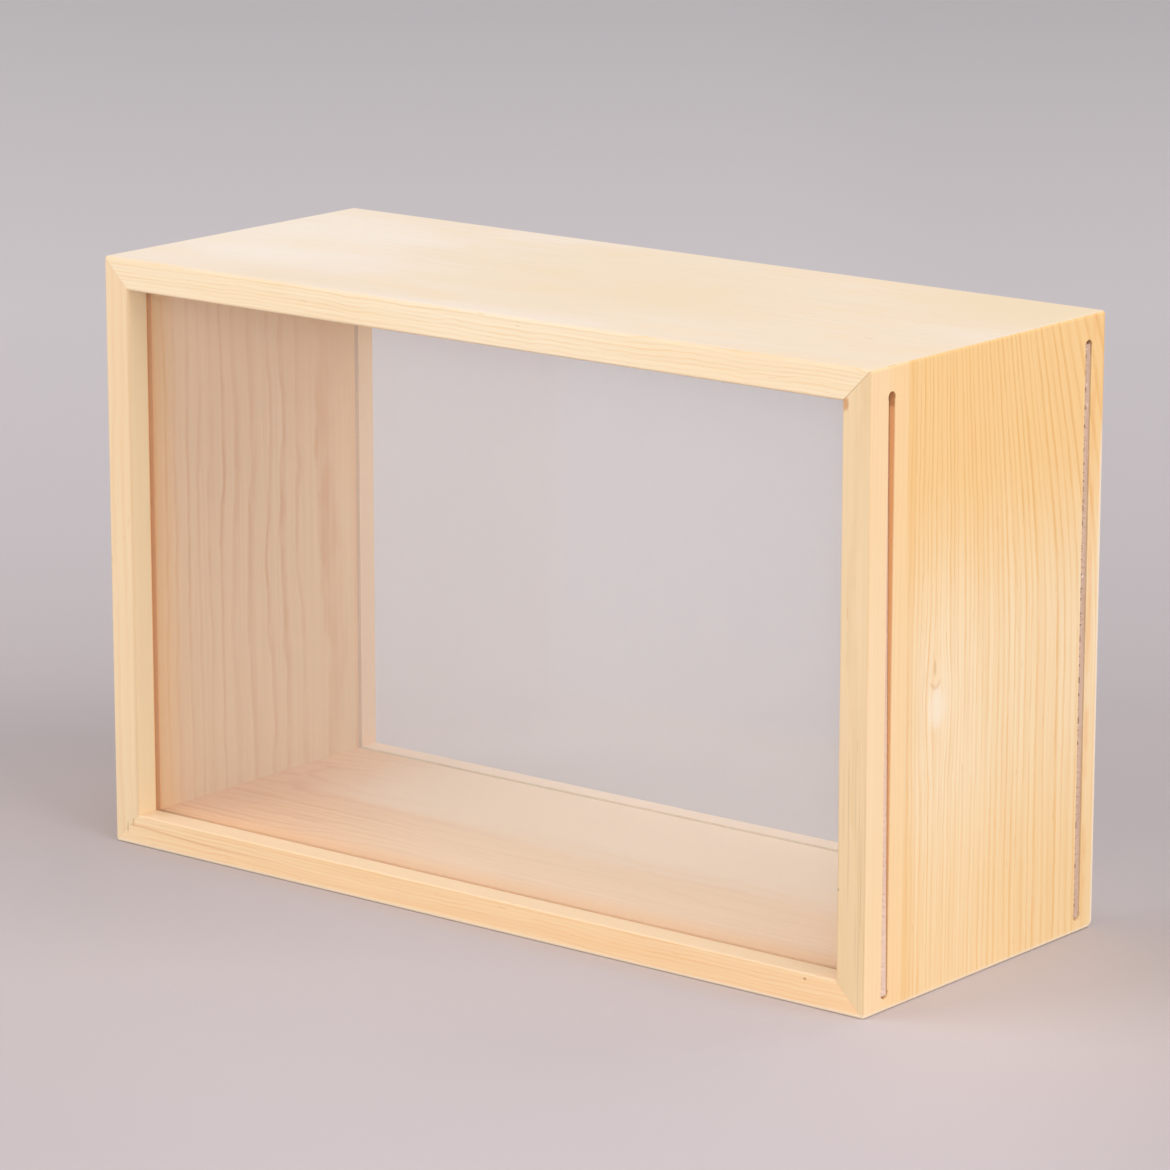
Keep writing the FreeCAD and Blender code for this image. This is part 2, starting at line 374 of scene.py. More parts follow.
def pine(name, along, outer_face, inward, trunk, face, rim, bent=None, marked=None):
    """A board's own pine: along is the axis that it runs in, outer_face and inward its outside and depth."""
    made, tree = new_material(name)
    place = add_node(tree, "TexCoord").outputs["Object"]
    at = add_node(tree, "SeparateXYZ", {0: place}).outputs
    depth_axis = "Z" if along == "X" else "X"
    depth = maths(tree, "MULTIPLY", maths(tree, "SUBTRACT", at[depth_axis], outer_face), inward)
    across = maths(tree, "ADD", at["Y"], bent(tree, at)) if bent else at["Y"]
    point = add_node(tree, "CombineXYZ", {"X": at[along], "Y": across, "Z": depth}).outputs[0]

    grain = growth(tree, point, trunk)
    joints = add_node(tree, "Group", {"Point": place}, node_tree=marks)
    spot = Spot(tree, place, at, grain, joints.outputs)

    base = mix_colour(tree, spot.masks["Rim"], tinted(tree, grain, face), tinted(tree, grain, rim))
    base = mix_colour(tree, 1.0, base, spread(tree, grain["Fibre"], 0.94, 1.06), blend="MULTIPLY")
    base = touched(spot, base, 0.25, grain["Resin"], RESIN)
    # painted shade on every arris, which tones down its highlight
    base = touched(spot, base, 0.20, spot.masks["Arris"], ARRIS_SHADE)
    # painted shade in the front saw cuts and painted light in the rear ones, against the dark of the narrow
    # gaps
    base = touched(spot, base, 0.85, spot.masks["Front Cut"], SHADED_FRONT_CUT)
    base = touched(spot, base, 0.80, spot.masks["Rear Cut"], LIT_REAR_CUT)
    if marked:
        base = marked(spot, base)
    base = touched(spot, base, 0.07, spot.masks["Mitre"], GLUE)

    gloss = spread(tree, grain["Fibre"], 0.70, 0.56)
    height = maths(tree, "MULTIPLY_ADD", grain["Late Wood"], 0.6, grain["Fibre"])
    bump = add_node(tree, "Bump", {"Height": height, "Strength": 0.15, "Distance": GRAIN_HEIGHT}).outputs[0]
    wood = add_node(tree, "BsdfPrincipled", {
        "Base Color": base,
        "Roughness": gloss,
        "Specular IOR Level": 0.3,
        "Normal": bump,
    })
    add_node(tree, "OutputMaterial", {"Surface": wood.outputs[0]})
    return made


def dressed(node, material):
    """Puts a material on a construction node in place of its plain one."""
    nodes[node].data.materials.clear()
    nodes[node].data.materials.append(material)
    print(node, "is", material.name)


def oval(spot, first, second, middle, half):
    """Squared distance from the middle of an oval, 1 at its rim, seen along the axis that isn't named."""
    squares = []
    for axis, centre, reach in zip((first, second), middle, half):
        off = maths(spot.tree, "SUBTRACT", spot.at[axis], centre * MM)
        off = maths(spot.tree, "DIVIDE", off, reach * MM)
        squares.append(maths(spot.tree, "MULTIPLY", off, off))
    return maths(spot.tree, "ADD", *squares)


def ragged(spot, distance, roughness):
    """Makes the edge of an oval uneven along the fibres."""
    uneven = maths(spot.tree, "SUBTRACT", spot.grain["Fibre"], 0.5)
    return maths(spot.tree, "MULTIPLY_ADD", uneven, roughness, distance)


# %% [markdown]
# ## Top board
# It is flat sawn: the rings lie nearly level, so the wide face shows only broad pale bands, and the rim shows
# the same rings from the side, as fine wavy lines that run along the rail. The top has bleached almost to
# cream, with soft yellower patches in the middle and at the right.

# %% Top board


def sun_bleached(spot, base):
    """The top face is blotched, yellower in the middle and at the rear right, and paler at its left end."""
    outside = smooth_step(spot.tree, spot.at["Z"], case_size.z - 1.0 * MM, case_size.z - 0.3 * MM)
    blotch = smooth_step(spot.tree, stretched_noise(spot.tree, spot.place, (26, 60, 60)), 0.48, 0.66)
    base = touched(spot, base, 0.30, both(spot, blotch, outside), (236, 210, 172))
    yellow, pale = (231, 210, 178), (240, 231, 222)
    patches = (
        ((8, 8), (85, 60), 0.65, yellow),
        ((128, 44), (60, 42), 0.85, yellow),
        ((-125, 0), (55, 70), 0.36, pale),
    )
    for middle, half, share, chip in patches:
        patch = smooth_step(spot.tree, ragged(spot, oval(spot, "X", "Y", middle, half), 0.8), 1.2, 0.0)
        base = touched(spot, base, share, both(spot, patch, outside), chip)
    return base


top_trunk = {
    "Pith Across": 20 * MM,
    "Pith Through": 100 * MM,
    "Rings": 98,
    "Crowding": 1.0,
    "Wander": 9 * MM,
    "Seed": 1.3,
}
dressed("top_board", pine(
    "pine of the top board", "X", case_size.z, -1, top_trunk,
    face=Finish((236, 222, 208), (230, 203, 168), (234, 216, 194), 0.26, 0.06),
    rim=Finish((251, 235, 205), (242, 204, 148), (251, 230, 195), 0.58, 0.14),
    marked=sun_bleached,
))

# %% [markdown]
# ## Bottom board
# Another flat sawn board, more orange. A thin line of pitch starts at the left end of its front rim and
# fades out along the rail, and a small pin knot sits near the right end. At the left mitre two short strokes
# of wood filler cross the joint, so the left board gets them as well. Inside the box the board is painted
# paler towards the right and the rear, painted light where the light comes in, and browner beside the left
# wall, painted shade.

# %% Bottom board
LIP_FADE = 0.3 * MM


def front_rim(spot):
    """The rim that faces forwards."""
    return both(spot, spot.masks["Rim"], smooth_step(spot.tree, spot.at["Y"], 0.0, -1 * MM))


def front_lip(spot):
    """Everything in front of the front panel."""
    panel_low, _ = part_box("front_panel")
    return smooth_step(spot.tree, spot.at["Y"], panel_low.y + 0.1 * MM, panel_low.y - LIP_FADE)


def rear_lip(spot):
    """Everything behind the rear panel."""
    _, panel_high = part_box("rear_panel")
    return smooth_step(spot.tree, spot.at["Y"], panel_high.y, panel_high.y + LIP_FADE)


def filler_strokes(spot, base):
    """Two short strokes of wood filler across the lower left mitre, on the front rim."""
    in_front = front_rim(spot)
    for middle, half in (((-134.9, 5.3), (0.5, 2.2)), ((-132.5, 7.2), (0.45, 1.7))):
        stroke = smooth_step(spot.tree, ragged(spot, oval(spot, "X", "Z", middle, half), 1.6), 1.1, 0.3)
        base = touched(spot, base, 0.42, both(spot, stroke, in_front), (190, 160, 112))
    return base


def foot_painted_light(spot, base):
    """The arris along the floor is painted pale, painted light against the contact shadow at the floor."""
    off_floor = smooth_step(spot.tree, spot.at["Z"], 0.02 * MM, 0.10 * MM)
    low_arris = both(spot, smooth_step(spot.tree, spot.at["Z"], 1.6 * MM, 0.5 * MM), off_floor)
    # painted light along the foot of the board
    return touched(spot, base, 0.90, low_arris, (255, 240, 214))


def bottom_board_marks(spot, base):
    """Pitch line, pin knot and filler on the front rim; inside, painted light to the right and the rear,
    painted shade by the wall.
    """
    tree, at = spot.tree, spot.at
    in_front = front_rim(spot)
    climb = add_node(tree, "MapRange", {"Value": at["X"], "From Min": -90 * MM, "From Max": -128 * MM})
    reach = climb.outputs["Result"]
    pitch_height = maths(tree, "MULTIPLY_ADD", both(spot, reach, reach), 1.1 * MM, 5.1 * MM)
    off_pitch = maths(tree, "ABSOLUTE", maths(tree, "SUBTRACT", at["Z"], pitch_height))
    pitch = both(spot, smooth_step(tree, off_pitch, 0.5 * MM, 0.1 * MM), in_front)
    pitch = both(spot, pitch, smooth_step(tree, at["X"], -62 * MM, -115 * MM))
    base = touched(spot, base, 0.42, pitch, (214, 150, 96))
    pin = smooth_step(tree, oval(spot, "X", "Z", (120.1, 7.9), (0.7, 0.5)), 1.0, 0.2)
    base = touched(spot, base, 0.6, both(spot, pin, in_front), (176, 124, 78))

    base = foot_painted_light(spot, base)

    indoors = smooth_step(tree, at["Z"], BOARD_THICKNESS - 0.4 * MM, BOARD_THICKNESS - 0.1 * MM)
    # painted light: paler towards the right and the rear, where the light comes in
    slant = maths(tree, "MULTIPLY_ADD", at["Y"], 0.45, at["X"])
    pale = smooth_step(tree, slant, -140 * MM, -30 * MM)
    base = touched(spot, base, 0.62, both(spot, pale, indoors), (255, 231, 198))
    # painted light: paler still over the rear of the floor, away from the left wall
    wavy = maths(tree, "SUBTRACT", stretched_noise(tree, spot.place, (14, 160, 0)), 0.5)
    edge = maths(tree, "MULTIPLY_ADD", wavy, 24 * MM, at["Y"])
    rear = smooth_step(tree, edge, -11 * MM, 12 * MM)
    clear_of_wall = smooth_step(tree, at["X"], -132 * MM, -78 * MM)
    base = touched(spot, base, 0.85, both(spot, rear, clear_of_wall, indoors), (255, 233, 207))
    # painted shade: browner beside the left wall
    shade_beside_wall = smooth_step(tree, at["X"], -90 * MM, -130 * MM)
    off_front = smooth_step(tree, at["Y"], -46 * MM, -14 * MM)
    base = touched(spot, base, 0.40, both(spot, shade_beside_wall, off_front, indoors), (226, 182, 138))
    base = touched(spot, base, 0.90, both(spot, rear_lip(spot), indoors), (249, 217, 186))
    # painted light: the rear saw cut is paler, against the dark of its narrow gap
    base = touched(spot, base, 0.90, spot.masks["Rear Cut"], (255, 226, 184))
    near_front = smooth_step(tree, at["Y"], -31 * MM, -46 * MM)
    from_wall = spread(tree, smooth_step(tree, at["X"], -130 * MM, -60 * MM), 0.4, 1.0)
    base = touched(spot, base, 0.48, both(spot, near_front, from_wall, indoors), (234, 168, 100))
    base = touched(spot, base, 0.85, both(spot, front_lip(spot), indoors), (251, 222, 187))
    return filler_strokes(spot, base)


bottom_trunk = {
    "Pith Across": 10 * MM,
    "Pith Through": -110 * MM,
    "Rings": 95,
    "Crowding": 1.0,
    "Wander": 9 * MM,
    "Seed": 4.7,
}
dressed("bottom_board", pine(
    "pine of the bottom board", "X", 0, 1, bottom_trunk,
    face=Finish((253, 210, 162), (230, 156, 98), (251, 202, 152), 0.50, 0.25),
    rim=Finish((252, 226, 186), (244, 190, 132), (251, 217, 172), 0.45, 0.25),
    marked=bottom_board_marks,
))

# %% [markdown]
# ## Left board
# Its rings are wide apart and meet the inner face at a slant, so the lines stand close together near the
# front and spread towards the rear. The upper end is more orange and is painted lighter at the head, painted
# light against the shade under the top board, the foot is browner, and a soft brown line of painted shade
# runs down where the rear groove begins. The lip in front of the panel is painted paler, as painted light,
# and the outer face is paler too. The front saw cuts carry painted shade, the rear ones painted light.

# %% Left board


def left_board_marks(spot, base):
    """Inside: painted light on lip and head, orange rear, browner foot, painted shade and light at grooves.
    Outside: paler.
    """
    tree, at = spot.tree, spot.at
    on_face = maths(tree, "SUBTRACT", 1.0, spot.masks["Rim"])
    depth = maths(tree, "ADD", at["X"], half_width)
    outdoors = smooth_step(tree, depth, 1.0 * MM, 0.3 * MM)
    base = touched(spot, base, 0.50, both(spot, outdoors, on_face), (253, 226, 186))
    indoors = both(spot, on_face, smooth_step(tree, depth, 5 * MM, BOARD_THICKNESS - 0.5 * MM))
    rear = smooth_step(tree, at["Y"], 0.0, 40 * MM)
    high = smooth_step(tree, at["Z"], 80 * MM, 160 * MM)
    base = touched(spot, base, 0.62, both(spot, rear, high, indoors), (250, 190, 124))
    # painted light: lighter at the head, against the shade under the top board
    head = smooth_step(tree, at["Z"], 105 * MM, 172 * MM)
    base = touched(spot, base, 0.55, both(spot, head, indoors), (251, 208, 153))
    foot = smooth_step(tree, at["Z"], 110 * MM, 10 * MM)
    base = touched(spot, base, 0.46, both(spot, foot, indoors), (214, 188, 150))
    near_front = smooth_step(tree, at["Y"], -25 * MM, -46 * MM)
    base = touched(spot, base, 0.40, both(spot, near_front, indoors), (238, 176, 106))
    # painted light: the lip in front of the panel is paler
    base = touched(spot, base, 0.92, both(spot, front_lip(spot), indoors), (255, 228, 186))
    rear_panel_low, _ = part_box("rear_panel")
    # painted shade: a soft brown line where the rear groove begins, fading out under the head
    below_head = smooth_step(tree, at["Z"], 150 * MM, 90 * MM)
    off_groove = maths(tree, "ABSOLUTE", maths(tree, "SUBTRACT", at["Y"], rear_panel_low.y - 0.6 * MM))
    groove_shade_line = smooth_step(tree, off_groove, 1.6 * MM, 0.2 * MM)
    base = touched(spot, base, 0.36, both(spot, groove_shade_line, below_head, indoors), (222, 142, 92))
    base = touched(spot, base, 0.60, both(spot, rear_lip(spot), below_head, indoors), (237, 190, 150))
    # painted light in the rear saw cut and painted shade in the front one, against the dark of the grooves
    base = touched(spot, base, 0.60, both(spot, spot.masks["Rear Cut"], on_face), (255, 206, 148))
    base = touched(spot, base, 0.75, both(spot, spot.masks["Front Cut"], on_face), (255, 172, 90))
    return filler_strokes(spot, base)


left_trunk = {
    "Pith Across": 58 * MM,
    "Pith Through": -115 * MM,
    "Rings": 35,
    "Crowding": 1.0,
    "Wander": 5 * MM,
    "Seed": 7.9,
}
dressed("left_board", pine(
    "pine of the left board", "Z", -half_width, 1, left_trunk,
    face=Finish((237, 201, 153), (214, 138, 68), (235, 196, 145), 0.57, 0.14),
    rim=Finish((244, 218, 179), (239, 200, 153), (243, 212, 171), 0.45, 0.18),
    marked=left_board_marks,
))

# %% [markdown]
# ## Right board
# This is the board that the photo shows best. A plain pale band of sapwood runs down beside the front edge,
# with a darker line where it ends. Behind it the rings come up nearly square to the face, as fine straight
# lines that lean and spread a little towards the upper rear corner, where the wood is also more orange.
# Halfway down sits a small pale knot, with a brown hook above it, and the lines part to go round it.

# %% Right board
KNOT_Y = -23.5 * MM
KNOT_Z = 81.5 * MM
KNOT_BROWN = (214, 158, 98)
SAPWOOD_END = -38.8 * MM  # the sapwood band reaches from the front edge to here
_, panel_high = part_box("rear_panel")
SLOT_TOP = panel_high.z  # the slots end in drilled holes a little above the panels


def right_board_bend(tree, at):
    """Shifts the rings sideways: they lean near the upper rear corner, and part round the knot."""
    rise = maths(tree, "MAXIMUM", maths(tree, "SUBTRACT", at["Z"], 80 * MM), 0.0)
    rear = smooth_step(tree, at["Y"], -35 * MM, 45 * MM)
    bare_spot = Spot(tree, None, at, None, None)
    lean = maths(tree, "MULTIPLY", both(bare_spot, rise, rise, rear), 1.9)
    off_knot = oval(bare_spot, "Y", "Z", (KNOT_Y / MM, KNOT_Z / MM), (7, 16))
    near = maths(tree, "EXPONENT", maths(tree, "MULTIPLY", off_knot, -1.0))
    part = maths(tree, "MULTIPLY", maths(tree, "SUBTRACT", at["Y"], KNOT_Y), near)
    return maths(tree, "MULTIPLY_ADD", part, -0.55, lean)


def heartwood(spot, base, on_face):
    """Sapwood band beside the front edge, a darker line behind it, and orange at the top and the foot."""
    tree, at = spot.tree, spot.at
    orange = smooth_step(tree, at["Z"], 92 * MM, 150 * MM)
    foot = maths(tree, "MULTIPLY", smooth_step(tree, at["Z"], 70 * MM, 20 * MM), 0.45)
    ends = both(spot, maths(tree, "MAXIMUM", orange, foot), on_face)
    base = touched(spot, base, 0.58, ends, (249, 197, 114))
    lines = both(spot, spot.grain["Late Wood"], orange, on_face)
    base = touched(spot, base, 0.32, lines, (222, 160, 90))
    past = maths(tree, "SUBTRACT", at["Y"], SAPWOOD_END)
    begun = smooth_step(tree, past, -0.4 * MM, 0.6 * MM)
    line = both(spot, smooth_step(tree, past, 7 * MM, 0.4 * MM), begun, on_face)
    base = touched(spot, base, 0.40, line, (243, 192, 122))
    band = both(spot, maths(tree, "SUBTRACT", 1.0, begun), on_face)
    slot_side = smooth_step(tree, at["Y"], -50 * MM, -44 * MM)
    sapwood = mix_colour(tree, slot_side, srgb(252, 222, 180), srgb(253, 217, 166))
    return mix_colour(tree, maths(tree, "MULTIPLY", band, 0.75), base, sapwood)


def rear_edge(spot, base, on_face):
    """Orange streaks behind the rear slot, and a thin rear arris that is pale below and orange above."""
    tree, at = spot.tree, spot.at
    outside = smooth_step(tree, at["X"], half_width - 1.6 * MM, half_width - 0.5 * MM)
    off_streak = maths(tree, "ABSOLUTE", maths(tree, "SUBTRACT", at["Y"], 50.6 * MM))
    broken = smooth_step(tree, stretched_noise(tree, spot.place, (0, 0, 38)), 0.40, 0.58)
    streak = both(spot, smooth_step(tree, off_streak, 1.6 * MM, 0.4 * MM), broken, on_face)
    base = touched(spot, base, 0.45, streak, (245, 180, 112))
    edge = both(spot, smooth_step(tree, at["Y"], 53.8 * MM, 55.2 * MM), outside)
    high = smooth_step(tree, at["Z"], 135 * MM, 160 * MM)
    base = touched(spot, base, 0.85, both(spot, edge, maths(tree, "SUBTRACT", 1.0, high)), (255, 239, 220))
    return touched(spot, base, 0.40, both(spot, edge, high), (240, 180, 124))


def pale_knot(spot, base, on_face):
    """An uneven pale patch in a faint halo, with a short dash and a small bowl of brown above it."""
    tree, at = spot.tree, spot.at
    halo = smooth_step(tree, oval(spot, "Y", "Z", (-20.5, 84), (9, 14)), 1.0, 0.0)
    base = touched(spot, base, 0.40, both(spot, halo, on_face), (253, 232, 198))
    patch = smooth_step(tree, ragged(spot, oval(spot, "Y", "Z", (-23.6, 81.5), (3.8, 5.6)), 4.0), 1.8, -0.2)
    base = touched(spot, base, 0.62, both(spot, patch, on_face), (254, 242, 222))
    dash = smooth_step(tree, ragged(spot, oval(spot, "Y", "Z", (-24.7, 92.6), (0.8, 3.0)), 1.0), 1.0, 0.2)
    base = touched(spot, base, 0.40, both(spot, dash, on_face), KNOT_BROWN)
    ring = oval(spot, "Y", "Z", (-24.4, 89.6), (2.3, 2.6))
    off_bowl = maths(tree, "ABSOLUTE", maths(tree, "SUBTRACT", ring, 1.0))
    lower = smooth_step(tree, at["Z"], 89.4 * MM, 88.0 * MM)
    bowl = both(spot, smooth_step(tree, off_bowl, 0.7, 0.1), lower, on_face)
    return touched(spot, base, 0.32, bowl, KNOT_BROWN)


def stile_marks(spot, base):
    """Grey streaks low on the front rim, a torn chip and a glue line at the upper mitre, and a speck."""
    tree, at = spot.tree, spot.at
    in_front = front_rim(spot)
    lines = smooth_step(tree, stretched_noise(tree, spot.place, (1300, 1300, 18)), 0.52, 0.70)
    low = smooth_step(tree, at["Z"], 95 * MM, 60 * MM)
    base = touched(spot, base, 0.45, both(spot, lines, low, in_front), (206, 178, 136))
    high = smooth_step(tree, at["Z"], 120 * MM, 150 * MM)
    base = touched(spot, base, 0.55, both(spot, spot.masks["Mitre"], high), GLUE)
    chip = smooth_step(tree, ragged(spot, oval(spot, "X", "Z", (131.8, 169.8), (1.0, 2.2)), 3.2), 1.2, 0.2)
    base = touched(spot, base, 0.65, both(spot, chip, in_front), (196, 128, 74))
    speck = smooth_step(tree, oval(spot, "X", "Z", (130.9, 35.4), (0.5, 0.5)), 1.0, 0.3)
    return touched(spot, base, 0.70, both(spot, speck, in_front), (140, 100, 70))


def right_board_marks(spot, base):
    """Everything that sets this board apart, and painted shade in the drilled holes at the top of its slots.
    """
    tree, masks = spot.tree, spot.masks
    cuts = maths(tree, "MAXIMUM", masks["Front Cut"], masks["Rear Cut"])
    on_face = maths(tree, "SUBTRACT", 1.0, maths(tree, "MAXIMUM", masks["Rim"], cuts))
    base = heartwood(spot, base, on_face)
    base = rear_edge(spot, base, on_face)
    base = pale_knot(spot, base, on_face)
    # painted shade where the slots end in their drilled holes
    bore_shade = smooth_step(tree, spot.at["Z"], SLOT_TOP - 3.6 * MM, SLOT_TOP - 2.6 * MM)
    base = touched(spot, base, 0.50, both(spot, bore_shade, cuts), (172, 108, 62))
    return stile_marks(spot, foot_painted_light(spot, base))


right_trunk = {
    "Pith Across": 90 * MM,
    "Pith Through": -20 * MM,
    "Rings": 27,
    "Crowding": 1.6,
    "Wander": 4 * MM,
    "Seed": 2.2,
}
dressed("right_board", pine(
    "pine of the right board", "Z", half_width, -1, right_trunk,
    face=Finish((253, 231, 193), (240, 186, 118), (252, 226, 183), 0.50, 0.24),
    rim=Finish((242, 216, 174), (229, 196, 147), (239, 210, 167), 0.35, 0.18),
    bent=right_board_bend, marked=right_board_marks,
))

# %% [markdown]
# ## Hidden splines
# Each mitre is held from inside by a loose strip of hardwood. It never shows, but it is finished all the
# same: a darker wood with its grain across the joint, made from the same ring group with a tighter count.

# %% Spline wood
spline_wood, tree = new_material("spline wood")
place = add_node(tree, "TexCoord").outputs["Object"]
spline_trunk = {
    "Pith Across": 60 * MM,
    "Pith Through": -60 * MM,
    "Rings": 60,
    "Crowding": 1.0,
    "Wander": 3 * MM,
    "Seed": 5.5,
}
grain = growth(tree, place, spline_trunk)
body = mix_colour(tree, grain["Late Wood"], srgb(196, 152, 104), srgb(160, 112, 70))
body = mix_colour(tree, 1.0, body, spread(tree, grain["Fibre"], 0.88, 1.12), blend="MULTIPLY")
wood = add_node(tree, "BsdfPrincipled", {
    "Base Color": body,
    "Roughness": spread(tree, grain["Fibre"], 0.72, 0.58),
})
add_node(tree, "OutputMaterial", {"Surface": wood.outputs[0]})
for node in nodes:
    if node.endswith("_spline"):
        dressed(node, spline_wood)

# %% [markdown]
# ## Clear acrylic
# The panels are clear sheet. Glass in a path tracer casts a dark shadow, because a lamp can't be found
# through a refracting face. So for shadow rays alone the sheet becomes transparent, and everything else sees
# true refraction and the soft mirror of the box inside.

# %% Acrylic sheet
ACRYLIC_IOR = 1.49
CLEARNESS = 0.918  # the rest is a faint white bloom of dust and wiping

clear_acrylic, tree = new_material("clear acrylic")
place = add_node(tree, "TexCoord").outputs["Object"]
haze = stretched_noise(tree, place, (14, 14, 14), detail=3.0)
sheet = add_node(tree, "BsdfPrincipled", {
    "Base Color": (1.0, 1.0, 1.0, 1),
    "Roughness": spread(tree, haze, 0.0, 0.03),
    "IOR": ACRYLIC_IOR,
    "Transmission Weight": CLEARNESS,
})
open_to_light = add_node(tree, "BsdfTransparent")
shadow_ray = add_node(tree, "LightPath").outputs["Is Shadow Ray"]
choice = add_node(tree, "MixShader", {0: shadow_ray, 1: sheet.outputs[0], 2: open_to_light.outputs[0]})
add_node(tree, "OutputMaterial", {"Surface": choice.outputs[0]})
print("acrylic:", clear_acrylic.name)

# %% [markdown]
# ## The two panels
# A panel in the construction model is a plain slab. The real one was cut with a saw: its edges are frosted
# and take on a little of the colour of the wood, and the free edge, which shows in the slot, has small chips
# along its front corner, with broken dashes of painted shade in them. First comes the finish of such an edge.
# Then we start from a cube, stretch it over the slab, cut off a narrow strip beside the free edge, divide
# that strip into short pieces, and nudge its corner points inwards by seeded random amounts. Nothing moves
# outwards, so the panel stays inside its slab and still slides.

# %% Finish of a sawn edge


def sawn_edge(name, front_y, chip_shade_and_specks, shade, light):
    """Frosted acrylic with broken dashes of painted shade along the front corner, from front_y backwards."""
    made, tree = new_material(name)
    place = add_node(tree, "TexCoord").outputs["Object"]
    at = add_node(tree, "SeparateXYZ", {0: place}).outputs
    scratches = stretched_noise(tree, place, (700, 700, 60), detail=3.0, roughness=0.6)
    frost = mix_colour(tree, scratches, srgb(*shade), srgb(*light))
    # painted shade: broken dark dashes along the front corner, for the shade in its chips
    corner = smooth_step(tree, maths(tree, "SUBTRACT", at["Y"], front_y), 1.1 * MM, 0.5 * MM)
    breaks = stretched_noise(tree, place, (0, 0, 420), detail=2.0, roughness=0.7)
    dashes = smooth_step(tree, breaks, 0.50, 0.58)
    runs = smooth_step(tree, stretched_noise(tree, place, (0, 0, 32), detail=1.0), 0.34, 0.52)
    in_corner = maths(tree, "MULTIPLY", corner, dashes)
    chip_shade = maths(tree, "MULTIPLY", in_corner, maths(tree, "MULTIPLY", runs, chip_shade_and_specks))
    frost = mix_colour(tree, chip_shade, frost, srgb(92, 62, 48))
    chips = smooth_step(tree, stretched_noise(tree, place, (600, 600, 620), detail=1.0), 0.66, 0.74)
    glints = maths(tree, "MULTIPLY", maths(tree, "MULTIPLY", chips, runs), chip_shade_and_specks * 0.7)
    frost = mix_colour(tree, glints, frost, srgb(250, 240, 230))
    bump = add_node(tree, "Bump", {"Height": scratches, "Strength": 0.3, "Distance": 0.1 * MM}).outputs[0]
    edge = add_node(tree, "BsdfPrincipled", {
        "Base Color": frost,
        "Roughness": spread(tree, scratches, 0.40, 0.60),
        "Normal": bump,
    })
    add_node(tree, "OutputMaterial", {"Surface": edge.outputs[0]})
    print(name, "mixed")
    return made


front_low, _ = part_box("front_panel")
front_edge = sawn_edge("sawn front panel edge", front_low.y, 0.25, (222, 190, 172), (246, 220, 202))
rear_low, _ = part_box("rear_panel")
rear_edge_finish = sawn_edge("sawn rear panel edge", rear_low.y, 0.9, (196, 162, 141), (228, 196, 172))

# %% Panels
STRIP = 1.0 * MM  # the chips reach this far into the sheet
CHIP_PITCH = 0.9 * MM
CHIP_DEPTH = 0.5 * MM
SAW_RIPPLE = 0.06 * MM


def sawn_panel(name, node, seed, edge_material):
    """A clear sheet over a construction slab, with a chipped free edge on its right."""
    low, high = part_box(node)
    top_right = max(v.co.x for v in nodes[node].data.vertices if v.co.z > high.z - 0.1 * MM)
    lean = (high.x - top_right) / (high.z - low.z)
    draw = random.Random(seed)
    bm = bmesh.new()
    bmesh.ops.create_cube(bm, size=1)
    bmesh.ops.scale(bm, vec=high - low, verts=bm.verts)
    bmesh.ops.translate(bm, vec=(low + high) / 2, verts=bm.verts)
    for vert in bm.verts:
        if vert.co.x > 0:
            vert.co.x -= lean * (vert.co.z - low.z)
    everything = [*bm.verts, *bm.edges, *bm.faces]
    across_strip = Vector((1, 0, lean)).normalized()
    bmesh.ops.bisect_plane(bm, geom=everything, plane_co=(high.x - STRIP, 0, low.z), plane_no=across_strip)

    def free_x(z):
        return high.x - lean * (z - low.z)

    def upright(edge):
        first, second = edge.verts
        tall = abs(first.co.z - second.co.z) > 10 * STRIP
        return tall and first.co.x > free_x(first.co.z) - 1.5 * STRIP

    uprights = [edge for edge in bm.edges if upright(edge)]
    cuts = round((high.z - low.z) / CHIP_PITCH)
    bmesh.ops.subdivide_edges(bm, edges=uprights, cuts=cuts, use_grid_fill=True)
    middle_y = (low.y + high.y) / 2
    corner = [v for v in bm.verts if v.co.x > free_x(v.co.z) - 0.1 * STRIP]
    for vert in sorted(corner, key=lambda v: (v.co.y, v.co.z)):
        inner = low.z + STRIP < vert.co.z < high.z - STRIP
        at_front = vert.co.y < middle_y
        chip = draw.random() ** 3 * CHIP_DEPTH if inner and at_front else 0
        vert.co.x -= chip * 0.7 + draw.random() * SAW_RIPPLE
        vert.co.y += chip
    bmesh.ops.recalc_face_normals(bm, faces=bm.faces)
    for face in bm.faces:
        face.material_index = 1 if abs(face.normal.y) < 0.7 else 0
    mesh = bpy.data.meshes.new(name)
    bm.to_mesh(mesh)
    bm.free()
    mesh.materials.append(clear_acrylic)
    mesh.materials.append(edge_material)
    panel = bpy.data.objects.new(name, mesh)
    scene.collection.objects.link(panel)
    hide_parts(node)
    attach(panel, node)
    print(name, "has", len(mesh.polygons), "faces")


sawn_panel("front_clear_sheet", "front_panel", 11, front_edge)
sawn_panel("rear_clear_sheet", "rear_panel", 23, rear_edge_finish)

# %% [markdown]
# ## Studio floor
# The box stands on a seamless sweep: paper that lies flat under the box and curves up behind it, so that no
# corner shows. A profile of two points is extruded and spun, square to the view. Its colour is a quiet mauve
# grey that changes slowly with the distance from the camera, with the fall-off of the light painted in, and
# painted shadows make it a little darker beside the box. Out of the picture on the left it is paler, a
# painted pool of lamp light, and the panels mirror that as a faint veil.

# %% Floor
FLOOR_NEAR = 2.6  # metres towards the camera
FLOOR_FAR = 2.2  # metres behind the box, where the paper starts to rise
FLOOR_HALF_WIDTH = 3.2
SWEEP_RADIUS = 0.9
WALL_HEIGHT = 2.0

